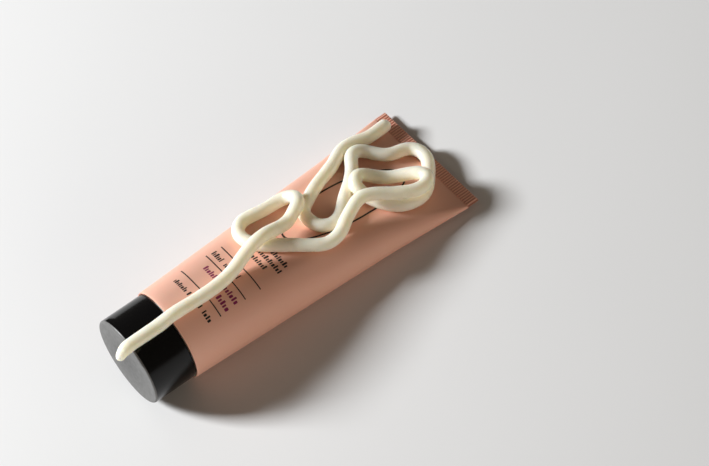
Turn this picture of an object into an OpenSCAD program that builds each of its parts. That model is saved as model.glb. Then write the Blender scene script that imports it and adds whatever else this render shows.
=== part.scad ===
// Squeeze tube of lip balm, lying on its back on a table.
// The tube's own line runs from the cap, at low X, to the flat crimp, at high X.
// The underside is flat from the round end to the belly and lies in the plane Z = 0.
// The middle of that flat stretch is the origin.
// Sizes are in millimetres.

/* [Sleeve] */
// Outer diameter of the sleeve at its round end
sleeve_d = 30; // [25:0.5:35]
// Length along the middle of the sleeve, from the round end to the crimp
sleeve_len = 95; // [90:1:110]
// Length of the stretch that the head keeps round
collar_len = 2; // [1.8:0.1:3]
// Distance from the round end to the belly, past which the tube thins faster
belly_at = 70; // [55:1:80]
// Thickness of the tube at its belly
belly_t = 11.5; // [9:0.5:14]
// Wall of the sleeve
sleeve_wall = 0.5; // [0.3:0.05:0.8]

/* [Crimp] */
// Length of the ridged crimp
crimp_len = 3.8; // [3:0.2:8]
// Thickness of the crimp over its ridges
crimp_t = 1; // [0.8:0.1:1.5]
// Ridges across the crimp
crimp_ridges = 50; // [30:1:70]
// Depth of the grooves between the ridges
groove_depth = 0.15; // [0.1:0.05:0.25]

/* [Head and neck] */
// Diameter of the neck without its thread
neck_d = 13.2; // [11:0.2:15]
// Height of the neck's mouth above the round end
neck_h = 11.7; // [11:0.1:13]
// Height of the shoulder's cone
cone_h = 2.6; // [1.5:0.1:3]
// Wall of the shoulder and the neck
head_wall = 1.2; // [0.8:0.1:1.6]
// Diameter of the hole that the balm comes out of
orifice_d = 5; // [3:0.5:7]

/* [Cap] */
// Outer diameter of the cap
cap_d = 28.8; // [28:0.1:29.8]
// Height of the cap's end face above the round end
cap_h = 14.6; // [14.4:0.1:20]
// Wall of the cap's skirt
cap_wall = 1.3; // [1:0.1:1.6]
// Bore of the socket that screws onto the neck
socket_d = 15.2; // [15:0.1:16.5]
// Wall of the socket
socket_wall = 1.3; // [1:0.1:1.6]
// Rounding of the end face's edge
cap_edge = 0.6; // [0.3:0.1:1]
// Thickness of the sealing disc in the cap
liner_t = 0.95; // [0.6:0.05:1.2]

/* [Balm] */
// Diameter of the squeezed bead
bead_d = 4.1; // [3.6:0.1:4.1]

/* [Print] */
// Height of the print above the sleeve
ink_t = 0.1; // [0.05:0.05:0.2]
// Width of the thin lines
line_w = 0.35; // [0.25:0.05:0.6]

/* [Hidden] */
$fn = 96;
eps = 0.01;

// The gap between pieces that are welded or that touch
seat = 0.03;
// The running gap between the cap and what it turns on
run_gap = 0.3;
// The gap on each side of the sealing disc
liner_gap = 0.05;
// The gap between the bead and what it lies on
bead_gap = 0.1;

sleeve_r = sleeve_d / 2;
bore_r = sleeve_r - sleeve_wall;
// A tube pressed flat keeps its girth, so its flat width is half of that,
// and a stretch pressed to a thickness has straight sides of what girth is left
crimp_w = PI * sleeve_r;
belly_flat = PI / 2 * (sleeve_r - belly_t / 2);

// The tube lies on the line under the collar and the belly
lie_angle = atan((sleeve_r - belly_t / 2) / (belly_at - collar_len));
axis_z = sleeve_r * cos(lie_angle) + collar_len * sin(lie_angle);
under_near = collar_len * cos(lie_angle) - sleeve_r * sin(lie_angle);
under_far = belly_at * cos(lie_angle) - belly_t / 2 * sin(lie_angle);
axis_x = -(under_near + under_far) / 2;

// Puts what is modelled along the tube's own line, as X, where the tube lies
module lay() {
    translate([axis_x, 0, axis_z]) rotate([0, lie_angle, 0]) children();
}

// Turns what is modelled upwards so that it points out of the tube's mouth
module out_of_mouth() {
    lay() rotate([0, -90, 0]) children();
}

// The tube's sections at the collar, the belly and the crimp,
// grown on every side, or shrunk where grow is below zero
module collar_slice(grow) {
    rotate([0, 90, 0]) cylinder(h = collar_len, r = sleeve_r + grow, $fn = 64);
}
belly_land = 0.1;
module belly_slice(grow) {
    for (side = [-1, 1])
        translate([belly_at - belly_land, side * belly_flat, 0]) rotate([0, 90, 0])
            cylinder(h = belly_land, r = belly_t / 2 + grow, $fn = 64);
}
module crimp_slice(grow) {
    half_t = max(crimp_t / 2 + grow, eps);
    translate([sleeve_len - eps, -crimp_w / 2 - grow, -half_t])
        cube([eps, crimp_w + 2 * grow, 2 * half_t]);
}

// The form that a round tube takes when its far end is pressed flat
module pressed_tube(grow = 0) {
    lay() {
        hull() {
            collar_slice(grow);
            belly_slice(grow);
        }
        hull() {
            belly_slice(grow);
            crimp_slice(grow);
        }
    }
}

// The ridged band, as a toothed outline pushed along the tube
module crimp() {
    pitch = crimp_w / crimp_ridges;
    top = [
        for (i = [0:crimp_ridges - 1])
            each [[i * pitch, crimp_t - groove_depth], [(i + 0.5) * pitch, crimp_t]]
    ];
    under = [
        for (i = [crimp_ridges - 1:-1:0])
            each [[(i + 1) * pitch, groove_depth], [(i + 0.5) * pitch, 0]]
    ];
    lay() translate([sleeve_len - eps, -crimp_w / 2, -crimp_t / 2]) rotate([90, 0, 90])
        linear_extrude(crimp_len + eps)
            polygon(concat(top, [[crimp_w, crimp_t - groove_depth]], under, [[0, groove_depth]]));
}

// The film sleeve, hollow, with its far end welded flat
module sleeve() {
    color([0.86, 0.62, 0.52]) {
        difference() {
            pressed_tube();
            pressed_tube(-sleeve_wall);
            out_of_mouth() translate([0, 0, -collar_len]) cylinder(h = collar_len + 1, r = bore_r);
        }
        crimp();
    }
}

plug_h = collar_len - 0.2;
plug_r = bore_r - seat;
seat_r = bore_r - head_wall - seat;
neck_r = neck_d / 2;
mouth_chamfer = 0.5;

// The hollow of the head: under the shoulder, up the neck and out of the mouth
module head_hollow(gap = 0) {
    r_low = plug_r - head_wall - gap;
    r_neck = neck_r - head_wall - gap;
    rotate_extrude() polygon([
        [0, -plug_h - 2 * seat],
        [r_low, -plug_h - 2 * seat],
        [r_low, -head_wall],
        [r_neck, cone_h - head_wall],
        [r_neck, neck_h - head_wall - gap],
        [orifice_d / 2 - gap, neck_h - head_wall - gap],
        [orifice_d / 2 - gap, neck_h + (gap > 0 ? 0 : eps)],
        [0, neck_h + (gap > 0 ? 0 : eps)]
    ]);
}

// The moulded head: a plug in the sleeve, a shoulder and a neck
module tube_head() {
    color([0.93, 0.92, 0.88]) out_of_mouth() difference() {
        rotate_extrude() polygon([
            [0, -plug_h],
            [plug_r, -plug_h],
            [plug_r, 0],
            [seat_r, 0],
            [neck_r + head_wall / 2, cone_h],
            [neck_r, cone_h],
            [neck_r, neck_h - mouth_chamfer],
            [neck_r - mouth_chamfer, neck_h],
            [0, neck_h]
        ]);
        head_hollow();
    }
}

// The balm that fills the sleeve, the shoulder and the neck
module balm_fill() {
    color([0.95, 0.91, 0.8]) {
        difference() {
            pressed_tube(-sleeve_wall - seat);
            out_of_mouth() translate([0, 0, -plug_h - seat]) cylinder(h = plug_h + seat + 1, r = sleeve_r);
        }
        out_of_mouth() head_hollow(seat);
    }
}

cap_r = cap_d / 2;
cap_ceiling = neck_h + liner_t + 3 * liner_gap;
socket_r = socket_d / 2;
socket_foot = cone_h + 1.6;

// The screw cap: a plain skirt, an end disc and the socket, moulded as one
module cap() {
    color([0.06, 0.06, 0.065]) out_of_mouth() rotate_extrude() difference() {
        union() {
            translate([0, run_gap]) square([cap_r, cap_h - run_gap - cap_edge]);
            translate([0, cap_h - cap_edge - eps]) square([cap_r - cap_edge, cap_edge + eps]);
            translate([cap_r - cap_edge, cap_h - cap_edge]) intersection() {
                circle(r = cap_edge);
                square(cap_edge);
            }
        }
        translate([-eps, 0]) square([socket_r + eps, cap_ceiling]);
        translate([socket_r - eps, 0]) square([socket_wall + 2 * eps, socket_foot]);
        translate([socket_r + socket_wall, 0])
            square([cap_r - cap_wall - socket_r - socket_wall, cap_ceiling]);
    }
}

// The soft disc in the cap that seals the neck's mouth
module cap_liner() {
    color([0.85, 0.85, 0.83]) out_of_mouth() translate([0, 0, neck_h + liner_gap])
        cylinder(h = liner_t, r = socket_r - 2 * liner_gap);
}

// The bead's route, from the end near the crimp to the end on the cap.
// Each point is [distance from the round end, distance across, lift off the tube].
// It was laid out on a tube of the sizes below, and stretches to fit others.
ROUTE_TUBE_D = 30;
ROUTE_TUBE_LEN = 95;
ROUTE_CAP_H = 14.6;
ROUTE_BEAD_D = 4.1;
ROUTE = [
    [96.5, 18, 0], [92, 17, 0], [87, 16, 0], [83.5, 17, 0], [79.5, 17, 0], [76, 15.5, 0],
    [71.5, 12, 0], [66, 10, 0], [61, 7.5, 0], [56.5, 4.5, 0], [53.5, 2.5, 0], [53, -2.5, 0],
    [54.5, -6, 0], [58, -7.5, 0], [61.5, -6, 0], [64.5, -3, 0], [67.5, 0, 0], [72, 3.5, 0],
    [76, 8, 0.5], [77.5, 11, 1.5], [80, 12.5, 1.5], [83, 12, 0.5], [85.5, 8.5, 0],
    [88.5, 6, 0], [92.5, 6, 0], [95.5, 5, 0], [97, 1, 0], [96, -3, 0], [92.5, -7.5, 0],
    [89.5, -11.5, 0], [85, -14.5, 0], [79, -14, 0], [75, -10.5, 0], [72, -5.5, 0.5],
    [70.5, -1.5, 3.5], [73, 1.5, 4], [75.5, 1.5, 3.5], [79, -0.5, 1.5], [82, -2.5, 1],
    [85.5, -4.5, 2], [88.5, -7, 3.5], [90.5, -10, 4.5], [89.5, -13, 4.5], [85.5, -14.5, 4.5],
    [81.5, -13.5, 4.5], [77, -11, 4.5], [73, -8.5, 5], [68.5, -7, 5], [65, -8.5, 4],
    [61, -10, 2.5], [58, -12, 1], [54.5, -13, 0.5], [51, -12.5, 0], [47.5, -10, 0],
    [44, -7, 0], [40, -4, 0], [36, -1, 0], [33.5, 3, 0], [33.5, 7, 0], [35.5, 9.5, 0],
    [38, 11, 0], [41.5, 10.5, 0], [45.5, 10, 0], [50, 10.5, 0], [53.5, 9.5, 1],
    [54.5, 6, 3.5], [53.5, 2.5, 4.5], [51, 1.5, 4], [47.5, 0, 2], [43, -1, 3], [39, -1.5, 4.5],
    [35.5, -2, 4.5], [32, -2.5, 3.5], [28, -3.5, 2], [23.5, -5, 0.5], [18.5, -6, 0],
    [12.5, -6.5, 0], [6.5, -6.5, 0], [-1, -6.5, 0], [-8, -6.5, 0], [-13, -6.5, 0],
    [-15.5, -6.5, 0], [-18, -6.5, -1], [-19, -6, -4]
];
BEAD_SIDES = 10;
RINGS_PER_POINT = 2;
bead_r = bead_d / 2;

// The section at a distance along the tube: [radius of its sides, half its flat width]
// The bead bridges the step from the sleeve down to the cap.
BRIDGE_LEN = 4;
function section(s) =
    s < 0 ? [sleeve_r + (cap_r - sleeve_r) * min(1, -s / BRIDGE_LEN), 0]
    : s < collar_len ? [sleeve_r, 0]
    : s < belly_at
        ? let (share = (s - collar_len) / (belly_at - collar_len))
            [sleeve_r, 0] * (1 - share) + [belly_t / 2, belly_flat] * share
    : let (share = min(1, (s - belly_at) / (sleeve_len - belly_at)))
        [belly_t / 2, belly_flat] * (1 - share) + [crimp_t / 2, crimp_w / 2] * share;

// Height of the upper surface over the tube's own line, grown by a distance
function surface_h(s, y, grow) =
    let (r = section(s)[0] + grow)
    let (side = max(0, abs(y) - section(s)[1]))
    sqrt(max(0, r * r - side * side));

// A point of the route in the tube's own directions, at its height
function laid(p) =
    let (s = p[0] * (p[0] < 0 ? cap_h / ROUTE_CAP_H : sleeve_len / ROUTE_TUBE_LEN))
    let (y = p[1] * sleeve_d / ROUTE_TUBE_D)
    let (lift = p[2] * bead_d / ROUTE_BEAD_D)
    [s, y, surface_h(s, y, (bead_r + bead_gap) / cos(lie_angle) + lift)];

// A smooth curve that the points draw towards themselves, at share t of a step
function smooth(a, b, c, d, t) = (
    pow(1 - t, 3) * a + (3 * pow(t, 3) - 6 * t * t + 4) * b
    + (-3 * pow(t, 3) + 3 * t * t + 3 * t + 1) * c + pow(t, 3) * d
) / 6;
last = len(ROUTE) - 1;
route_ends = concat([2 * ROUTE[0] - ROUTE[1]], ROUTE, [2 * ROUTE[last] - ROUTE[last - 1]]);
function on_route(u) =
    let (i = min(floor(u), last - 1))
    laid(smooth(route_ends[i], route_ends[i + 1], route_ends[i + 2], route_ends[i + 3], u - i));

// Where the rings stand along the route, and how wide each is: the ends are round
END_STEPS = [[0, 0.35], [0.12, 0.72], [0.35, 0.95]];
bead_steps = concat(
    END_STEPS,
    [for (i = [RINGS_PER_POINT:RINGS_PER_POINT * (last - 1)]) [i / RINGS_PER_POINT, 1]],
    [for (i = [2:-1:0]) [last - END_STEPS[i][0], END_STEPS[i][1]]]
);
function unit(v) = v / norm(v);
function bead_ring(u, share) =
    let (ahead = unit(on_route(min(u + 0.1, last)) - on_route(max(u - 0.1, 0))))
    let (across = unit(cross([0, 0, 1], ahead)))
    let (over = cross(ahead, across))
    [
        for (k = [0:BEAD_SIDES - 1])
            let (turn = 360 * k / BEAD_SIDES)
            on_route(u) + share * bead_r * (cos(turn) * across + sin(turn) * over)
    ];

// The squeezed bead, swept along its route in loops that pass over each other
module balm_bead() {
    rings = len(bead_steps);
    points = [for (step = bead_steps) each bead_ring(step[0], step[1])];
    sides = [
        for (i = [0:rings - 2])
            for (k = [0:BEAD_SIDES - 1])
                let (a = i * BEAD_SIDES + k)
                let (b = i * BEAD_SIDES + (k + 1) % BEAD_SIDES)
                each [[a, b, b + BEAD_SIDES], [a, b + BEAD_SIDES, a + BEAD_SIDES]]
    ];
    first_end = [for (k = [BEAD_SIDES - 1:-1:0]) k];
    last_end = [for (k = [0:BEAD_SIDES - 1]) (rings - 1) * BEAD_SIDES + k];
    color([0.96, 0.93, 0.82]) lay()
        polyhedron(points = points, faces = concat([first_end], sides, [last_end]));
}

// The print is a thin layer that follows the sleeve's upper side.
// Its shapes are drawn flat, with the tube's length as X, and pushed up through the layer.
module printed() {
    intersection() {
        difference() {
            pressed_tube(ink_t + seat);
            pressed_tube(seat);
        }
        lay() linear_extrude(sleeve_r + 1) children();
    }
}

// Places of the lines across the tube, from the round end
RULE_PLACES = [13, 22, 27.5];
rule_from = -12.2;
rule_to = 7.4;

// A row of short bars, in place of a line of words: [from, to] across the tube
module word_row(place, height, words) {
    for (word = words)
        translate([place - height / 2, word[0]]) square([height, word[1] - word[0]]);
}

// A plain oval ring, in place of the drawing on the label
ring_len = 44;
ring_w = 16.4;
ring_line = 1.7 * line_w;
ring_place = sleeve_len - 29;
module oval_ring() {
    translate([ring_place, -0.8]) difference() {
        scale([ring_len / ring_w, 1]) circle(d = ring_w, $fn = 64);
        scale([(ring_len - 2 * ring_line) / (ring_w - 2 * ring_line), 1])
            circle(d = ring_w - 2 * ring_line, $fn = 64);
    }
}

// The black print: thin lines, bars for words and the oval ring
module black_print() {
    color([0.1, 0.09, 0.09]) printed() {
        for (place = RULE_PLACES)
            translate([place - line_w / 2, rule_from]) square([line_w, rule_to - rule_from]);
        word_row(9.5, 1.1, [[-11.8, -8.8], [-7.7, -6.3], [-2.5, -1.7], [-0.8, 5.7]]);
        word_row(24.5, 1.2, [[-6, 1.4], [2.6, 7.1]]);
        word_row(32.7, 1.2, [[-7.8, 1.5]]);
        word_row(35.4, 1.2, [[-11.3, 3]]);
        word_row(38.2, 1.2, [[-10.9, 3]]);
        oval_ring();
    }
}

// The plum print: two rows of bars between the lines
module plum_print() {
    color([0.45, 0.1, 0.3]) printed() {
        word_row(19.2, 1.3, [[-11.8, 3.5]]);
        word_row(15.8, 1.3, [[-12, -7.6], [-6.4, -5]]);
    }
}

sleeve();
tube_head();
balm_fill();
cap();
cap_liner();
balm_bead();
black_print();
plum_print();
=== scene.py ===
"""The dressed lip balm tube: a squeeze tube on its back, its screw cap, and the balm squeezed along it."""
import math

import bpy
import numpy as np
from mathutils import Matrix, Vector, noise


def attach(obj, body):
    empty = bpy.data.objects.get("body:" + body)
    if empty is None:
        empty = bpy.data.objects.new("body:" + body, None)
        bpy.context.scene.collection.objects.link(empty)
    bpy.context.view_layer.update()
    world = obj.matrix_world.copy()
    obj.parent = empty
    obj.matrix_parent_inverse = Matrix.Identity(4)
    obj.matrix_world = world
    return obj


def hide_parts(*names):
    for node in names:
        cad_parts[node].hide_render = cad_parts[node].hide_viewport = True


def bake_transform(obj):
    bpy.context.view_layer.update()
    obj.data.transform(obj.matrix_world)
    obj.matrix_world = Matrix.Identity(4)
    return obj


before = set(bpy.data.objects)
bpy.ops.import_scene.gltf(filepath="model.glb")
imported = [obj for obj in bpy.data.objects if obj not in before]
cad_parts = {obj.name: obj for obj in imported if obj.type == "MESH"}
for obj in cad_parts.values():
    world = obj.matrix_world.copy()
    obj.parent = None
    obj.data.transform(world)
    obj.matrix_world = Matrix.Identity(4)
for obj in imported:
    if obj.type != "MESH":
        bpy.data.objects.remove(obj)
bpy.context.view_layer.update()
scene = bpy.context.scene

# Sleeve:
# The extruded film of a squeeze tube: round where it is welded to the head, pressed
# flat and ridged by the hot jaws at the far end. It lies on the line under its collar and belly.
SLEEVE_R = 0.015
SLEEVE_LEN = 0.095
COLLAR_LEN = 0.002
BELLY_AT = 0.070
BELLY_T = 0.0115
SLEEVE_WALL = 0.0005
CRIMP_LEN = 0.0038
CRIMP_T = 0.001
CRIMP_RIDGES = 50
GROOVE_DEPTH = 0.00034
LEAST_R = 0.00004
CRIMP_W = math.pi * SLEEVE_R
BELLY_FLAT = math.pi / 2 * (SLEEVE_R - BELLY_T / 2)

LIE = math.atan((SLEEVE_R - BELLY_T / 2) / (BELLY_AT - COLLAR_LEN))
AXIS_Z = SLEEVE_R * math.cos(LIE) + COLLAR_LEN * math.sin(LIE)
AXIS_X = -((COLLAR_LEN + BELLY_AT) * math.cos(LIE) - (SLEEVE_R + BELLY_T / 2) * math.sin(LIE)) / 2


def lay(s, y, n):
    """Where a point stands: s along the tube from its round end, y across it, n off its line."""
    return Vector((AXIS_X + s * math.cos(LIE) + n * math.sin(LIE), y,
                   AXIS_Z - s * math.sin(LIE) + n * math.cos(LIE)))


def tube_section(s):
    """Radius of the sides and half the flat width of the tube at a distance along it."""
    if s <= COLLAR_LEN:
        return SLEEVE_R, 0.0
    if s <= BELLY_AT:
        k = (s - COLLAR_LEN) / (BELLY_AT - COLLAR_LEN)
        return SLEEVE_R + (BELLY_T / 2 - SLEEVE_R) * k, BELLY_FLAT * k
    k = min(1.0, (s - BELLY_AT) / (SLEEVE_LEN - BELLY_AT))
    crimp_flat = CRIMP_W / 2 - CRIMP_T / 2
    return BELLY_T / 2 + (CRIMP_T / 2 - BELLY_T / 2) * k, BELLY_FLAT + (crimp_flat - BELLY_FLAT) * k


def tube_top(s, y, off=0.0):
    """Height of the tube's upper skin over its own line, off metres above the film."""
    r, flat = tube_section(s)
    side = max(0.0, abs(y) - flat)
    return math.sqrt(max(0.0, (r + off) ** 2 - side * side))


def tube_ring(s, inset, count):
    """One closed ring of film: a share of the girth stands at the same share in every ring."""
    r, flat = tube_section(s)
    r, ring = max(r - inset, LEAST_R), []
    girth = math.pi * r + 2 * flat
    for i in range(2 * count):
        run = (i % count) / count * girth
        if run < math.pi * r / 2:
            turn = run / r
            y, n = -flat - r * math.cos(turn), r * math.sin(turn)
        elif run < math.pi * r / 2 + 2 * flat:
            y, n = -flat + (run - math.pi * r / 2), r
        else:
            turn = (run - math.pi * r / 2 - 2 * flat) / r
            y, n = flat + r * math.sin(turn), r * math.cos(turn)
        ring.append((s, y, n) if i < count else (s, -y, -n))
    return ring


def loft(name, rings):
    """A closed mesh through rings of as many points each, laid along the tube."""
    n, verts, faces = len(rings[0]), [lay(*p) for ring in rings for p in ring], []
    for j in range(len(rings) - 1):
        a, b = j * n, (j + 1) * n
        faces += [(a + i, a + (i + 1) % n, b + (i + 1) % n, b + i) for i in range(n)]
    faces += [tuple(range(n - 1, -1, -1)), tuple(range((len(rings) - 1) * n, len(rings) * n))]
    mesh = bpy.data.meshes.new(name)
    mesh.from_pydata(verts, [], faces)
    mesh.validate()
    made = bpy.data.objects.new(name, mesh)
    scene.collection.objects.link(made)
    outward(made)
    return made


SHARP_FROM = math.radians(35)


def outward(piece):
    """Turns a closed mesh's faces outward and shades it smooth, with its real edges kept sharp."""
    bpy.context.view_layer.objects.active = piece
    bpy.ops.object.select_all(action="DESELECT")
    piece.select_set(True)
    bpy.ops.object.mode_set(mode="EDIT")
    bpy.ops.mesh.select_all(action="SELECT")
    bpy.ops.mesh.normals_make_consistent(inside=False)
    bpy.ops.object.mode_set(mode="OBJECT")
    piece.data.shade_smooth()
    piece.data.set_sharp_from_angle(angle=SHARP_FROM)


class Wire:
    """A value on its way through a finish, with Python's operators for its maths."""

    def __init__(self, tree, end):
        self.tree, self.end = tree, end

    def node(self, kind, settings, values, out=0):
        """Any other node: its settings first, then the values or links of its sockets."""
        made = self.tree.nodes.new(kind)
        for name, setting in settings.items():
            setattr(made, name, setting)
        for name, value in values.items():
            if isinstance(value, Wire):
                self.tree.links.new(value.end, made.inputs[name])
            else:
                made.inputs[name].default_value = value
        return Wire(self.tree, made.outputs[out])

    def maths(self, operation, *values):
        """One Math node."""
        return self.node("ShaderNodeMath", {"operation": operation}, dict(enumerate(values)))

    def __add__(self, other):
        return self.maths("ADD", self, other)

    def __radd__(self, other):
        return self.maths("ADD", other, self)

    def __sub__(self, other):
        return self.maths("SUBTRACT", self, other)

    def __rsub__(self, other):
        return self.maths("SUBTRACT", other, self)

    def __mul__(self, other):
        return self.maths("MULTIPLY", self, other)

    def __rmul__(self, other):
        return self.maths("MULTIPLY", other, self)

    def grain(self, scale, detail=3.0, rough=0.5, stretch=(1, 1, 1)):
        """Noise over the piece: scale in grains a metre, drawn out by stretch."""
        place = self.node("ShaderNodeMapping", {}, {"Vector": self, "Scale": stretch})
        return self.node("ShaderNodeTexNoise", {}, {
            "Vector": place, "Scale": scale, "Detail": detail, "Roughness": rough})

    def within(self, low, high, to_low=0.0, to_high=1.0):
        """This value's place between low and high, as a number from to_low to to_high."""
        return self.node("ShaderNodeMapRange", {}, {
            "Value": self, "From Min": low, "From Max": high, "To Min": to_low, "To Max": to_high})

    def tint(self, share, other):
        """This colour turned towards another one by a share."""
        return self.node("ShaderNodeMix", {"data_type": "RGBA"}, {0: share, 6: self, 7: (*other, 1)}, out=2)


def finish_start(name, **constants):
    """A new finish: its shader with the sockets that stay constant, and the piece's own coordinates."""
    made = bpy.data.materials.new(name)
    made.use_nodes = True
    shader = made.node_tree.nodes["Principled BSDF"]
    for socket, value in constants.items():
        shader.inputs[socket.replace("_", " ")].default_value = value
    place = made.node_tree.nodes.new("ShaderNodeTexCoord")
    return made, shader, Wire(made.node_tree, place.outputs["Object"])


def plug_in(made, shader, **wires):
    """Joins the values that vary over the surface to the shader."""
    for socket, wire in wires.items():
        made.node_tree.links.new(wire.end, shader.inputs[socket.replace("_", " ")])


def paint(wire, colour):
    """A plain colour as a wire, to be tinted."""
    made = wire.tree.nodes.new("ShaderNodeRGB")
    made.outputs[0].default_value = (*colour, 1)
    return Wire(wire.tree, made.outputs[0])


def bump(height, depth):
    """Normals for a height that varies from 0 to 1, depth metres deep."""
    return height.node("ShaderNodeBump", {}, {"Height": height, "Distance": depth, "Strength": 1.0})


RIDGE_STEPS = 8
FILM_COUNT = CRIMP_RIDGES * RIDGE_STEPS
ROUNDED_RIM = 0.00012
film_places = ([0.0004, 0.001, 0.002] + [COLLAR_LEN + 0.0025 * i for i in range(1, 37)]
               + [0.0934, 0.0942, 0.0947])
film = [tube_ring(0.0, ROUNDED_RIM, FILM_COUNT)] + [tube_ring(s, 0.0, FILM_COUNT) for s in film_places]
THIN_EDGE = 0.35
EDGE_STEPS = 6
ROUNDED_JAW = 0.0001


def crimp_ring(s, share):
    """A ring across the crimp, its ridges risen by a share; the two faces' ridges interlock."""
    ring = []
    for i in range(2 * FILM_COUNT):
        k = (i % FILM_COUNT) / FILM_COUNT
        wave = 0.5 + 0.5 * math.cos(2 * math.pi * k * CRIMP_RIDGES)
        side = min(1.0, min(k, 1 - k) * FILM_COUNT / EDGE_STEPS)
        half = CRIMP_T / 2 * (THIN_EDGE + (1 - THIN_EDGE) * math.sin(math.pi / 2 * side))
        n = half - GROOVE_DEPTH * (1 - share * (wave if i < FILM_COUNT else 1 - wave))
        y = (k - 0.5) * CRIMP_W
        ring.append((s, y, n) if i < FILM_COUNT else (s, -y, -n))
    return ring


crimp_end = SLEEVE_LEN + CRIMP_LEN
film += [crimp_ring(SLEEVE_LEN - ROUNDED_JAW, 0.0), crimp_ring(SLEEVE_LEN + ROUNDED_JAW, 0.9)]
film += [crimp_ring(SLEEVE_LEN + 0.0004 + 0.0008 * i, 1.0) for i in range(5)]
film += [crimp_ring(crimp_end - ROUNDED_JAW, 0.95), crimp_ring(crimp_end, 0.5)]
sleeve = loft("sleeve_film", film)

# The bore is cut out of the film, so that the sleeve is one closed wall.
bore_places = (0.0944, 0.09, 0.08, 0.07, 0.06, 0.05, 0.04, 0.03, 0.02, 0.01, 0.002, 0.0)
bore = loft("sleeve_bore", [tube_ring(s, SLEEVE_WALL, FILM_COUNT) for s in bore_places])
cut = sleeve.modifiers.new("bore", "BOOLEAN")
cut.operation, cut.object, cut.solver = "DIFFERENCE", bore, "EXACT"
bpy.context.view_layer.objects.active = sleeve
bpy.ops.object.modifier_apply(modifier="bore")
bpy.data.objects.remove(bore)

PEACH = (0.87, 0.47, 0.35)
PALE_PEACH = (0.89, 0.49, 0.365)
# The colour of the painted shade in the crimp's grooves.
GROOVE_SHADE_PEACH = (0.40, 0.15, 0.11)
film_look, shader, here = finish_start(
    "peach_satin_film", Specular_IOR_Level=0.6, Subsurface_Weight=0.10, Subsurface_Scale=0.002)
cloud = here.grain(38.0, 4.0, 0.55)
fine = here.grain(5200.0, 2.0, 0.6)
film_colour = paint(here, PEACH).tint(cloud.within(0.35, 0.7), PALE_PEACH)


def measure(wire, way):
    """How far a place stands from the middle of the round end, along one way."""
    far = wire.node("ShaderNodeVectorMath", {"operation": "DOT_PRODUCT"}, {0: wire, 1: way}, out=1)
    return far - way.dot(lay(0, 0, 0))


# Painted shade: the film is darkened in the crimp's grooves, which lie behind the ridges of its other face.
JAW_EDGE = 0.0002
GROOVE_SHADE = 0.55
face_up = here.maths("SIGN", measure(here, Vector((math.sin(LIE), 0, math.cos(LIE)))))
turns = measure(here, Vector((0, 1, 0))) * (2 * math.pi * CRIMP_RIDGES / CRIMP_W)
ridges = here.maths("COSINE", turns) * face_up
down_tube = measure(here, Vector((math.cos(LIE), 0, -math.sin(LIE))))
pressed = down_tube.within(SLEEVE_LEN - JAW_EDGE, SLEEVE_LEN + JAW_EDGE)
film_colour = film_colour.tint((0.5 - 0.5 * ridges) * pressed * GROOVE_SHADE, GROOVE_SHADE_PEACH)
plug_in(film_look, shader,
        Base_Color=film_colour,
        Roughness=cloud.within(0.3, 0.7, 0.50, 0.58) + 0.03 * fine,
        Normal=bump(fine * 0.7 + 0.3 * here.grain(900.0, 2.0), 0.000012))
sleeve.data.materials.append(film_look)
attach(sleeve, "tube")
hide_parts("sleeve")

# Print:
# Two inks printed flat on the sleeve: black rules, an oval ring and rows of short strokes in
# place of words, and rows of plum strokes. Each mark is a thin closed patch that follows the film.
INK_UNDER = 0.00001
INK_OVER = 0.00004
LINE_W = 0.00035
RULE_FROM, RULE_TO = -0.0122, 0.0074
RULES_AT = (0.013, 0.022, 0.0275)
BAR_STEP = 0.0004
BAR_CORNER = 0.25
SQUARE_UNDER = 0.0001


def ink_patch(verts, faces, shape, steps_s, steps_y):
    """Adds one patch: shape(u, v) gives its place on the flat for u and v from 0 to 1."""
    base, row = len(verts), steps_y + 1
    for off in (INK_UNDER, INK_OVER):
        for i in range(steps_s + 1):
            for j in range(row):
                s, y = shape(i / steps_s, j / steps_y)
                verts.append(lay(s, y, tube_top(s, y, off)))
    over = base + (steps_s + 1) * row
    for i in range(steps_s):
        for j in range(steps_y):
            a = i * row + j
            faces.append((base + a, base + a + 1, base + a + row + 1, base + a + row))
            faces.append((over + a, over + a + row, over + a + row + 1, over + a + 1))
    rim = ([i * row for i in range(steps_s + 1)]
           + [steps_s * row + j for j in range(1, row)]
           + [i * row + steps_y for i in range(steps_s - 1, -1, -1)]
           + list(range(steps_y - 1, 0, -1)))
    for a, b in zip(rim, rim[1:] + rim[:1]):
        faces.append((base + a, over + a, over + b, base + b))


def bar(verts, faces, place, height, y0, y1):
    """A rule or a stroke: a bar across the tube, its corners rounded where it is large enough."""
    corner = min(height, y1 - y0) * BAR_CORNER

    def shape(u, v):
        y = y0 + (y1 - y0) * v
        near = min(y - y0, y1 - y, corner)
        pull = corner - math.sqrt(max(0.0, corner ** 2 - (corner - near) ** 2))
        half = height / 2 - (pull if corner > SQUARE_UNDER else 0)
        return place + (2 * u - 1) * half, y
    ink_patch(verts, faces, shape, 3, max(6, int((y1 - y0) / BAR_STEP)))


def printed(name, look, shapes):
    """One ink's print: all its patches in one mesh, in the place of its CAD node."""
    verts, faces = [], []
    for shape in shapes:
        shape(verts, faces)
    mesh = bpy.data.meshes.new(name)
    mesh.from_pydata(verts, [], faces)
    made = bpy.data.objects.new(name, mesh)
    scene.collection.objects.link(made)
    outward(made)
    made.data.materials.append(look)
    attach(made, "tube")
    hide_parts(name)


STROKE_TALL = (1.0, 0.68, 0.7, 0.98, 0.66)
STROKE_WIDE = (1.0, 1.5, 0.9, 1.25)
STROKE_GAP = 0.75


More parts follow.
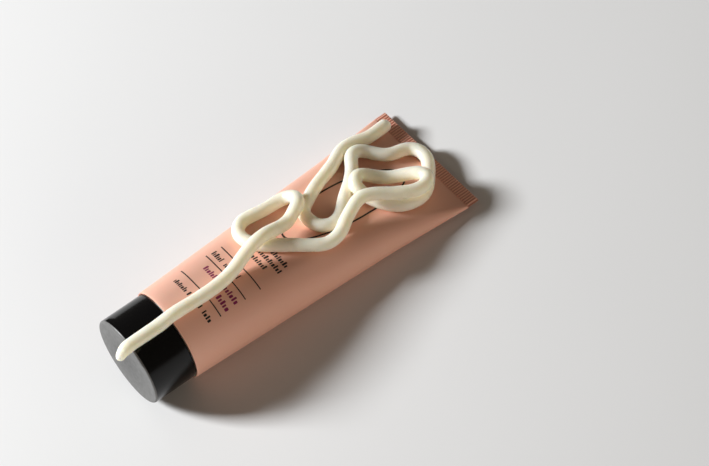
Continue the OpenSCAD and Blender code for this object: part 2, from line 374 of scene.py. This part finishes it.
def word_row(place, height, stroke, words):
    """Upright strokes that stand for a row of words: from and to across the tube, in millimetres."""
    row = []
    for a, b in words:
        y, k = a / 1000, 0
        while y < b / 1000 - stroke:
            tall = height * STROKE_TALL[(k + int(a * 2)) % len(STROKE_TALL)]
            wide = stroke * STROKE_WIDE[(k + int(b * 2)) % len(STROKE_WIDE)]
            row.append(lambda v, f, y=y, t=tall, w=wide: bar(v, f, place - (height - t) / 2, t, y, y + w))
            y, k = y + wide + stroke * STROKE_GAP, k + 1
    return row


RING_LEN, RING_W = 0.044, 0.0164
RING_AT, RING_Y = SLEEVE_LEN - 0.029, -0.0008
RING_LINE = 1.7 * LINE_W
RING_STEPS = 90


def oval_ring(verts, faces):
    """A plain oval line, in place of the drawing on the label."""
    for part in range(2):
        def shape(u, v, part=part):
            turn, inset = math.pi * (v + part), RING_LINE * (1 - u)
            return (RING_AT + (RING_LEN / 2 - inset) * math.cos(turn),
                    RING_Y + (RING_W / 2 - inset) * math.sin(turn))
        ink_patch(verts, faces, shape, 1, RING_STEPS)


def ink_finish(name, colour, worn):
    """An ink's finish: its colour, with the paler specks where it has rubbed."""
    look, shader, here = finish_start(name, Specular_IOR_Level=0.4)
    speck = here.grain(2600.0, 3.0, 0.6)
    plug_in(look, shader,
            Base_Color=paint(here, colour).tint(speck.within(0.45, 0.75), worn),
            Roughness=speck.within(0.3, 0.7, 0.42, 0.56),
            Normal=bump(speck, 0.000006))
    return look


BLACK, WORN_BLACK = (0.016, 0.014, 0.014), (0.03, 0.026, 0.025)
PLUM, WORN_PLUM = (0.23, 0.018, 0.085), (0.3, 0.035, 0.12)
black_ink = ink_finish("black_ink", BLACK, WORN_BLACK)
plum_ink = ink_finish("plum_ink", PLUM, WORN_PLUM)
rules = [lambda v, f, at=at: bar(v, f, at, LINE_W, RULE_FROM, RULE_TO) for at in RULES_AT]
printed("black_print", black_ink, (
    rules
    + word_row(0.0095, 0.0016, 0.0004, [(-11.8, -8.8), (-7.7, -6.3), (-2.5, -1.7), (-0.8, 5.7)])
    + word_row(0.0245, 0.0019, 0.00042, [(-6, 1.4), (2.6, 7.1)])
    + word_row(0.0327, 0.0017, 0.0005, [(-7.8, 1.5)])
    + word_row(0.0354, 0.0017, 0.0005, [(-11.3, 3)])
    + word_row(0.0382, 0.0017, 0.0005, [(-10.9, 3)])
    + [oval_ring]))
printed("plum_print", plum_ink, (
    word_row(0.0192, 0.0019, 0.00048, [(-11.8, 3.5)])
    + word_row(0.0158, 0.0019, 0.00048, [(-12, -7.6), (-6.4, -5)])))

# Head:
# The moulded head inside the cap: a plug welded into the sleeve, a low shoulder, and the
# threaded neck with its small mouth. A right-hand thread of 3 mm lead runs a little over twice round it.
NECK_R = 0.0066
NECK_H = 0.0117
CONE_H = 0.0026
HEAD_WALL = 0.0012
MOUTH_R = 0.0025
PLUG_H = COLLAR_LEN - 0.0002
PLUG_R = SLEEVE_R - SLEEVE_WALL - 0.00003
LEAD = 0.003
THREAD_W, THREAD_H = 0.0012, 0.00055
THREAD_FLANK = 0.25
THREAD_FADE = 0.0006
AROUND = 96


def lathe(name, outline, thread=None):
    """Turns an outline of (radius, height out of the mouth) about the tube's line."""
    rings = []
    for r, h in outline:
        ring = []
        for i in range(AROUND):
            turn = 2 * math.pi * i / AROUND
            out = r + (thread(r, h, turn) if thread else 0.0)
            ring.append((-h, out * math.sin(turn), out * math.cos(turn)))
        rings.append(ring)
    return loft(name, rings)


def steps(a, b, count):
    """Points from a to b, without b."""
    return [(a[0] + (b[0] - a[0]) * i / count, a[1] + (b[1] - a[1]) * i / count) for i in range(count)]


def arc(centre, r, start, end, count):
    """Points on a rounded edge, by angle in degrees."""
    turns = [math.radians(start + (end - start) * i / count) for i in range(count + 1)]
    return [(centre[0] + r * math.cos(turn), centre[1] + r * math.sin(turn)) for turn in turns]


def clamped(share):
    """A share that is never below nothing or above the whole."""
    return min(1.0, max(0.0, share))


def ridge(h, turn, middle, low, high):
    """Height of a thread's ridge at a place, faded out at the ends of its run."""
    off = (h - middle - LEAD * turn / (2 * math.pi)) / LEAD
    off = (off - round(off)) * LEAD
    rise = clamped((THREAD_W / 2 - abs(off)) / (THREAD_W * THREAD_FLANK))
    return THREAD_H * rise * clamped((h - low) / THREAD_FADE) * clamped((high - h) / THREAD_FADE)


def neck_thread(r, h, turn):
    """The ridge on the neck's side, and nothing on the rest of the head."""
    if abs(r - NECK_R) > 1e-6:
        return 0.0
    return ridge(h, turn, 0.0, CONE_H + THREAD_W, NECK_H - THREAD_W)


SHOULDER_R = SLEEVE_R - SLEEVE_WALL - HEAD_WALL
PLUG_BORE_R = PLUG_R - HEAD_WALL
NECK_BORE_R = NECK_R - HEAD_WALL
head = lathe("tube_head_moulding", (
    arc((MOUTH_R + 0.0002, NECK_H - 0.0002), 0.0002, 180, 90, 4)
    + arc((NECK_R - 0.0005, NECK_H - 0.0005), 0.0005, 90, 0, 5)
    + steps((NECK_R, NECK_H - 0.0006), (NECK_R, CONE_H + 0.0003), 56)
    + [(NECK_R, CONE_H + 0.0003), (NECK_R + 0.0003, CONE_H)]
    + [(SHOULDER_R - 0.0004, 0.0003), (SHOULDER_R - 0.0001, 0.0)]
    + [(PLUG_R - 0.0002, 0.0), (PLUG_R, -0.0002), (PLUG_R, -PLUG_H), (PLUG_BORE_R, -PLUG_H)]
    + [(PLUG_BORE_R, -HEAD_WALL), (NECK_BORE_R, CONE_H - HEAD_WALL)]
    + [(NECK_BORE_R, NECK_H - HEAD_WALL), (MOUTH_R, NECK_H - HEAD_WALL), (MOUTH_R, NECK_H - 0.0003)]
), neck_thread)
MILKY, PALE_MILKY = (0.66, 0.64, 0.59), (0.70, 0.68, 0.63)
head_look, shader, here = finish_start(
    "natural_moulded_plastic", Specular_IOR_Level=0.5, Subsurface_Weight=0.2, Subsurface_Scale=0.002)
flow = here.grain(420.0, 3.0, 0.5)
plug_in(head_look, shader,
        Base_Color=paint(here, MILKY).tint(flow.within(0.3, 0.7), PALE_MILKY),
        Roughness=flow.within(0.3, 0.7, 0.34, 0.46),
        Normal=bump(flow, 0.00001))
head.data.materials.append(head_look)
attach(head, "tube")
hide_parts("tube_head")

# Balm in the tube:
# The soft cream paste that fills the sleeve and the neck, up to the mouth where it shows as a
# smooth plug. It is filled in from the open end, before the crimp is pressed.
BALM_GAP = 0.00003
UNDER_LIP = NECK_H - HEAD_WALL - BALM_GAP
fill_outline = (
    (NECK_H - 0.0001, MOUTH_R - 0.0003),
    (NECK_H - 0.0002, MOUTH_R - BALM_GAP),
    (UNDER_LIP, MOUTH_R - BALM_GAP),
    (UNDER_LIP, NECK_BORE_R - BALM_GAP),
    (CONE_H - HEAD_WALL, NECK_BORE_R - BALM_GAP),
    (-HEAD_WALL - BALM_GAP, PLUG_BORE_R - BALM_GAP),
    (-PLUG_H - BALM_GAP, PLUG_BORE_R - BALM_GAP))
around = [2 * math.pi * i / AROUND for i in range(AROUND)]
fill_rings = [[(-h, -r * math.cos(turn), r * math.sin(turn)) for turn in around] for h, r in fill_outline]
fill_rings += [tube_ring(s, SLEEVE_WALL + BALM_GAP, AROUND // 2)
               for s in [COLLAR_LEN] + [0.01 * i for i in range(1, 10)] + [0.0938]]
fill = loft("balm_in_tube", fill_rings)
CREAM = (0.985, 0.885, 0.69)
PALE_CREAM = (0.99, 0.905, 0.73)
balm_look, shader, here = finish_start(
    "soft_cream_balm", Specular_IOR_Level=0.5, IOR=1.45, Subsurface_Weight=0.72, Subsurface_Scale=0.0065)
shader.inputs["Subsurface Radius"].default_value = (1.0, 0.8, 0.6)
soft = here.grain(150.0, 3.0, 0.5)
pore = here.grain(2400.0, 3.0, 0.6)
plug_in(balm_look, shader,
        Base_Color=paint(here, CREAM).tint(soft.within(0.35, 0.7), PALE_CREAM),
        Roughness=soft.within(0.3, 0.7, 0.22, 0.30) + 0.04 * pore,
        Normal=bump(soft * 0.5 + 0.5 * pore, 0.00003))
fill.data.materials.append(balm_look)
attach(fill, "tube")
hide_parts("balm_fill")

# Squeezed bead:
# Balm pressed out in one soft round strand, laid in loops that rest on the tube and on each
# other, sink a little where they touch, and end torn off over the cap's edge.
BEAD_R = 0.00205
BEAD_SINK = 0.00005
BEAD_CLEAR = 0.00008
BEAD_STEP = 0.0005
BEAD_SIDES = 24
CAP_R = 0.0144
CAP_H = 0.0146
BRIDGE_LEN = 0.004
CURVE_STEP = 0.05
EASED_OVER = 13
# The route's points in millimetres: distance from the round end, distance across, lift off the tube.
ROUTE = [
    (96.5, 18, 0), (92, 17, 0), (87, 16, 0), (83.5, 17, 0), (79.5, 17, 0), (76, 15.5, 0),
    (71.5, 12, 0), (66, 10, 0), (61, 7.5, 0), (56.5, 4.5, 0), (53.5, 2.5, 0), (53, -2.5, 0),
    (54.5, -6, 0), (58, -7.5, 0), (61.5, -6, 0), (64.5, -3, 0), (67.5, 0, 0), (72, 3.5, 0),
    (76, 8, 0.5), (77.5, 11, 1.5), (80, 12.5, 1.5), (83, 12, 0.5), (85.5, 8.5, 0),
    (88.5, 6, 0), (92.5, 6, 0), (95.5, 5, 0), (97, 1, 0), (96, -3, 0), (92.5, -7.5, 0),
    (89.5, -11.5, 0), (85, -14.5, 0), (79, -14, 0), (75, -10.5, 0), (72, -5.5, 0.5),
    (70.5, -1.5, 3.5), (73, 1.5, 4), (75.5, 1.5, 3.5), (79, -0.5, 1.5), (82, -2.5, 1),
    (85.5, -4.5, 2), (88.5, -7, 3.5), (90.5, -10, 4.5), (89.5, -13, 4.5), (85.5, -14.5, 4.5),
    (81.5, -13.5, 4.5), (77, -11, 4.5), (73, -8.5, 5), (68.5, -7, 5), (65, -8.5, 4),
    (61, -10, 2.5), (58, -12, 1), (54.5, -13, 0.5), (51, -12.5, 0), (47.5, -10, 0),
    (44, -7, 0), (40, -4, 0), (36, -1, 0), (33.5, 3, 0), (33.5, 7, 0), (35.5, 9.5, 0),
    (38, 11, 0), (41.5, 10.5, 0), (45.5, 10, 0), (50, 10.5, 0), (53.5, 9.5, 1),
    (54.5, 6, 3.5), (53.5, 2.5, 4.5), (51, 1.5, 4), (47.5, 0, 2), (43, -1, 3), (39, -1.5, 4.5),
    (35.5, -2, 4.5), (32, -2.5, 3.5), (28, -3.5, 2), (23.5, -5, 0.5), (18.5, -6, 0),
    (12.5, -6.5, 0), (6.5, -6.5, 0), (-1, -6.5, 0), (-8, -6.5, 0), (-13, -6.5, 0),
    (-15.5, -6.5, 0), (-18, -6.5, -1), (-19, -6, -4),
]


def bed_top(s, y, off):
    """Height of what the bead lies on: the sleeve, and past its end the cap's side."""
    if s >= 0:
        return tube_top(s, y, off)
    r = SLEEVE_R + (CAP_R - SLEEVE_R) * min(1.0, -s / BRIDGE_LEN) + off
    return math.sqrt(max(0.0, r * r - y * y))


def route_points(spacing):
    """Points at an even spacing along the smooth curve that the route's points draw."""
    ends = [2 * np.array(ROUTE[0]) - np.array(ROUTE[1])] + [np.array(p, float) for p in ROUTE]
    ends.append(2 * ends[-1] - ends[-2])
    middle_r = (BEAD_R - BEAD_SINK) / math.cos(LIE)
    dense = []
    for i in range(len(ROUTE) - 1):
        a, b, c, d = ends[i:i + 4]
        for t in np.arange(0, 1, CURVE_STEP):
            p = ((1 - t) ** 3 * a + (3 * t ** 3 - 6 * t * t + 4) * b
                 + (-3 * t ** 3 + 3 * t * t + 3 * t + 1) * c + t ** 3 * d) / 6 / 1000
            dense.append((p[0], p[1], bed_top(p[0], p[1], middle_r) + p[2]))
    dense = np.array(dense)
    share = np.exp(-np.linspace(-2, 2, EASED_OVER) ** 2)
    side = EASED_OVER // 2
    dense[side:-side, 2] = np.convolve(dense[:, 2], share / share.sum(), "valid")
    run = np.concatenate([[0], np.cumsum(np.linalg.norm(np.diff(dense, axis=0), axis=1))])
    at = np.linspace(0, run[-1], int(run[-1] / spacing))
    return np.stack([np.interp(at, run, dense[:, k]) for k in range(3)], axis=1), at


TIP_LEN = 0.0019
TORN_LEN, TORN_TAPER_LEN, TORN_TAPER = 0.0009, 0.0045, 0.42
SLOW_SWELL, SLOW_PITCH = 0.035, 160
QUICK_SWELL, QUICK_PITCH = 0.02, 620
MELTED = 0.00004
FUSE_VOXEL = 0.00026
line, run = route_points(BEAD_STEP)
ahead = np.gradient(line, axis=0)
ahead /= np.linalg.norm(ahead, axis=1)[:, None]
bead_rings = []
for i, (point, way) in enumerate(zip(line, ahead)):
    across = np.cross((0, 0, 1), way)
    across /= np.linalg.norm(across)
    over = np.cross(way, across)
    start, end = run[i], run[-1] - run[i]
    slow, quick = Vector((start * SLOW_PITCH, 3.1, 0)), Vector((start * QUICK_PITCH, 9.7, 0))
    swell = 1 + SLOW_SWELL * noise.noise(slow) + QUICK_SWELL * noise.noise(quick)
    round_start = math.sqrt(max(0.02, 1 - max(0.0, 1 - start / TIP_LEN) ** 2))
    torn_end = (math.sqrt(max(0.05, 1 - max(0.0, 1 - end / TORN_LEN) ** 2))
                * (1 - TORN_TAPER * max(0.0, 1 - end / TORN_TAPER_LEN)))
    r = (BEAD_R + MELTED) * swell * round_start * torn_end
    bead_rings.append([tuple(point + r * (math.cos(a) * across + math.sin(a) * over))
                       for a in (2 * math.pi * k / BEAD_SIDES for k in range(BEAD_SIDES))])
bead = loft("balm_bead_strand", bead_rings)
fuse = bead.modifiers.new("fuse", "REMESH")
fuse.mode, fuse.voxel_size = "VOXEL", FUSE_VOXEL
soften = bead.modifiers.new("soften", "SMOOTH")
soften.factor, soften.iterations = 0.5, 8
bpy.context.view_layer.objects.active = bead
for step in ("fuse", "soften"):
    bpy.ops.object.modifier_apply(modifier=step)

# It never sinks into the film or the cap: what would is pressed flat just above them.
flat_to_line = Matrix.Rotation(-LIE, 3, "Y")
PAST_CRIMP = crimp_end + 0.0007
for vert in bead.data.vertices:
    s, y, n = flat_to_line @ (vert.co - Vector((AXIS_X, 0, AXIS_Z)))
    if -CAP_H < s < PAST_CRIMP and n > 0:
        cap_top = math.sqrt(max(0.0, (CAP_R + BEAD_CLEAR) ** 2 - y * y))
        floor = tube_top(s, y, BEAD_CLEAR) if s >= 0 else cap_top
        if n < floor:
            vert.co = lay(s, y, floor)
bead.data.shade_smooth()
bead.data.materials.append(balm_look)
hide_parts("balm_bead")
tuple(lay(0.002, 0, 0))
tuple(lay(-0.004, 0, 0))
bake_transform(bead)

# Cap:
# A plain screw cap, moulded in one of black plastic: a glossy skirt, a satin end face, and
# inside it the threaded socket that grips the neck.
CAP_WALL = 0.0013
CAP_EDGE = 0.0006
RUN_GAP = 0.0003
SOCKET_R = 0.0076
SOCKET_WALL = 0.0013
SOCKET_FOOT = CONE_H + 0.0016
LINER_T = 0.00095
LINER_GAP = 0.00005
CAP_CEILING = NECK_H + LINER_T + 3 * LINER_GAP
JET, DUSTY_JET = (0.0035, 0.0034, 0.0036), (0.03, 0.029, 0.028)
# The cap face's lighter colour towards its edge is partly dust, partly a painted sheen.
SATIN_JET, DUST_AND_SHEEN_JET, SCRATCHED_JET = (0.006, 0.0059, 0.0059), (0.13, 0.128, 0.124), (0.13, 0.125, 0.12)


def socket_thread(r, h, turn):
    """The ridge in the socket, half a turn from the neck's, and nothing on the rest of the cap."""
    if abs(r - SOCKET_R) > 1e-6:
        return 0.0
    return -ridge(h, turn, LEAD / 2, SOCKET_FOOT + 0.0004, NECK_H - 0.0004)


cap = lathe("cap_moulding", (
    [(r, CAP_H) for r in (0.00002, 0.003, 0.006, 0.009, 0.011, 0.0125, 0.0133)]
    + arc((CAP_R - CAP_EDGE, CAP_H - CAP_EDGE), CAP_EDGE, 90, 0, 8)
    + steps((CAP_R, CAP_H - CAP_EDGE), (CAP_R, RUN_GAP + 0.0002), 6)
    + arc((CAP_R - 0.0002, RUN_GAP + 0.0002), 0.0002, 0, -90, 4)
    + [(CAP_R - CAP_WALL + 0.0001, RUN_GAP), (CAP_R - CAP_WALL, RUN_GAP + 0.0001)]
    + steps((CAP_R - CAP_WALL, RUN_GAP + 0.0005), (CAP_R - CAP_WALL, CAP_CEILING), 4)
    + [(CAP_R - CAP_WALL, CAP_CEILING), (SOCKET_R + SOCKET_WALL, CAP_CEILING)]
    + [(SOCKET_R + SOCKET_WALL, SOCKET_FOOT + 0.0002)]
    + [(SOCKET_R + SOCKET_WALL - 0.0002, SOCKET_FOOT)]
    + [(SOCKET_R + 0.0002, SOCKET_FOOT)]
    + steps((SOCKET_R, SOCKET_FOOT + 0.0002), (SOCKET_R, CAP_CEILING), 52)
    + [(SOCKET_R, CAP_CEILING), (0.00002, CAP_CEILING)]
), socket_thread)
cap_look, shader, here = finish_start("black_cap_plastic", Specular_IOR_Level=0.25)
dust = here.grain(1500.0, 4.0, 0.7)
speck = here.grain(5200.0, 2.0, 0.5)
swirl = here.grain(260.0, 4.0, 0.6, stretch=(1, 1, 6))
plug_in(cap_look, shader,
        Base_Color=paint(here, JET).tint(speck.within(0.68, 0.82), DUSTY_JET),
        Roughness=dust.within(0.35, 0.75, 0.14, 0.22),
        Normal=bump(swirl * 0.6 + 0.4 * dust, 0.000008))
cap.data.materials.append(cap_look)
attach(cap, "cap")
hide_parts("cap")

# The end face is the mould's satin ground with fine scratches. Towards its edge it is lighter in dusty
# blotches: partly dust, partly a painted sheen.
face_look, shader, here = finish_start("black_cap_face", Specular_IOR_Level=0.5)
face_middle = lay(-CAP_H, 0, 0)
from_middle = here.node("ShaderNodeVectorMath", {"operation": "DISTANCE"}, {0: here, 1: face_middle}, out=1)
dusty = here.grain(800.0, 5.0, 0.7).within(0.3, 0.7, 0.7, 1.0)
dust_and_sheen_to_edge = from_middle.within(0.0, CAP_R, 0.4, 1.0) * dusty
scratch = here.grain(3000.0, 3.0).within(0.6, 0.8)
plug_in(face_look, shader,
        Base_Color=paint(here, SATIN_JET).tint(dust_and_sheen_to_edge, DUST_AND_SHEEN_JET).tint(scratch, SCRATCHED_JET),
        Roughness=here.grain(700.0, 4.0).within(0.3, 0.7, 0.36, 0.48),
        Normal=bump(here.grain(5000.0, 2.0), 0.00001))
cap.data.materials.append(face_look)
# The face's finish also covers the rounded edge around it, so its lighter colour paints a sheen along that
# edge.
out_of_face = (lay(-1, 0, 0) - lay(0, 0, 0)).normalized()
for face in cap.data.polygons:
    off = flat_to_line @ (face.center - Vector((AXIS_X, 0, AXIS_Z)))
    if -off[0] > CAP_H - CAP_EDGE and face.normal.dot(out_of_face) > 0.25:
        face.material_index = 1

# Sealing disc:
# A disc punched from white foam sheet and pressed into the cap's ceiling, where it closes
# the mouth when the cap is screwed down.
LINER_FOOT = NECK_H + LINER_GAP
LINER_TOP = LINER_FOOT + LINER_T
disc = lathe("cap_sealing_disc", (
    [(0.00002, LINER_FOOT), (0.004, LINER_FOOT), (SOCKET_R - 0.0003, LINER_FOOT)]
    + [(SOCKET_R - 0.0001, LINER_FOOT + 0.0002), (SOCKET_R - 0.0001, LINER_TOP)]
    + [(0.004, LINER_TOP), (0.00002, LINER_TOP)]))
FOAM, PALE_FOAM = (0.66, 0.66, 0.64), (0.74, 0.74, 0.72)
foam_look, shader, here = finish_start("white_liner_foam")
cell = here.node("ShaderNodeTexVoronoi", {}, {"Vector": here, "Scale": 3200.0})
plug_in(foam_look, shader,
        Base_Color=paint(here, FOAM).tint(cell.within(0.1, 0.6), PALE_FOAM),
        Roughness=cell.within(0.0, 0.7, 0.6, 0.75),
        Normal=bump(cell, 0.00004))
disc.data.materials.append(foam_look)
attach(disc, "liner")
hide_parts("cap_liner")

# Table, light and camera:
# A plain pale table top under one soft lamp behind and to the left, with the warm bounce of
# a pale wall on the near side, seen from above through a long lens.
TABLE_SIZE = 6.0
bpy.ops.mesh.primitive_plane_add(size=TABLE_SIZE, location=(0, 0, 0))
table = bpy.context.object
table.name = "table_top"
CHALK, PALE_CHALK = (0.74, 0.74, 0.735), (0.76, 0.76, 0.755)
table_look, shader, here = finish_start("pale_table", Specular_IOR_Level=0.25)
mottle = here.grain(6.0, 2.0)
plug_in(table_look, shader,
        Base_Color=paint(here, CHALK).tint(mottle.within(0.3, 0.7), PALE_CHALK),
        Roughness=mottle.within(0.3, 0.7, 0.6, 0.65))
table.data.materials.append(table_look)

world = bpy.data.worlds.new("studio") if scene.world is None else scene.world
scene.world = world
world.use_nodes = True
WARM_WHITE = (1.0, 0.85, 0.70)
COOL_WHITE = (0.962, 0.98, 1.0)
room = world.node_tree.nodes["Background"]
room.inputs["Color"].default_value = (*WARM_WHITE, 1)
room.inputs["Strength"].default_value = 0.08
LAMPS_AIM = Vector((0, 0, 0.01))


def lamp(name, place, size, power, colour):
    """A soft rectangular lamp that faces the tube."""
    light = bpy.data.lights.new(name, "AREA")
    light.shape = "RECTANGLE"
    light.size, light.size_y = size
    light.energy, light.color = power, colour
    made = bpy.data.objects.new(name, light)
    scene.collection.objects.link(made)
    made.location = place
    made.rotation_euler = (LAMPS_AIM - Vector(place)).to_track_quat("-Z", "Y").to_euler()
    return made


def towards(azimuth, height, distance):
    """A place round the tube, by its angles in degrees and its distance in metres."""
    a, h = math.radians(azimuth), math.radians(height)
    flat = distance * math.cos(h)
    return flat * math.cos(a), flat * math.sin(a), distance * math.sin(h)


lamp("key_light", towards(azimuth=135.5, height=34.5, distance=1.28),
     size=(0.26, 0.33), power=27.4, colour=COOL_WHITE)
# The bounce off a pale wall on the near side; it is too even to show as a highlight.
bounce = lamp("bounce_light", towards(azimuth=-85, height=14, distance=1.7),
              size=(2.4, 0.7), power=8.5, colour=WARM_WHITE)
bounce.visible_glossy = False

AZIMUTH, ELEVATION, ROLL = (math.radians(turn) for turn in (-16.935, 53.384, -25.169))
LOOKED_AT = Vector((0.030515, -0.002925, 0))
CAMERA_FAR = 1.3
SENSOR_W = 36.0
FRAME_W = 709
FOCAL_IN_PIXELS = 4331.7
back = Vector((math.sin(AZIMUTH) * math.cos(ELEVATION),
               -math.cos(AZIMUTH) * math.cos(ELEVATION),
               math.sin(ELEVATION)))
level = Vector((math.cos(AZIMUTH), math.sin(AZIMUTH), 0))
above = back.cross(level)
right = level * math.cos(ROLL) + above * math.sin(ROLL)
up = above * math.cos(ROLL) - level * math.sin(ROLL)
eye = bpy.data.cameras.new("photo_view")
eye.sensor_width, eye.lens = SENSOR_W, FOCAL_IN_PIXELS * SENSOR_W / FRAME_W
eye.clip_start, eye.clip_end = 0.05, 20
camera = bpy.data.objects.new("photo_view", eye)
scene.collection.objects.link(camera)
facing = Matrix((right, up, back)).transposed().to_4x4()
camera.matrix_world = Matrix.Translation(LOOKED_AT + back * CAMERA_FAR) @ facing
scene.camera = camera

scene.view_settings.view_transform = "Standard"
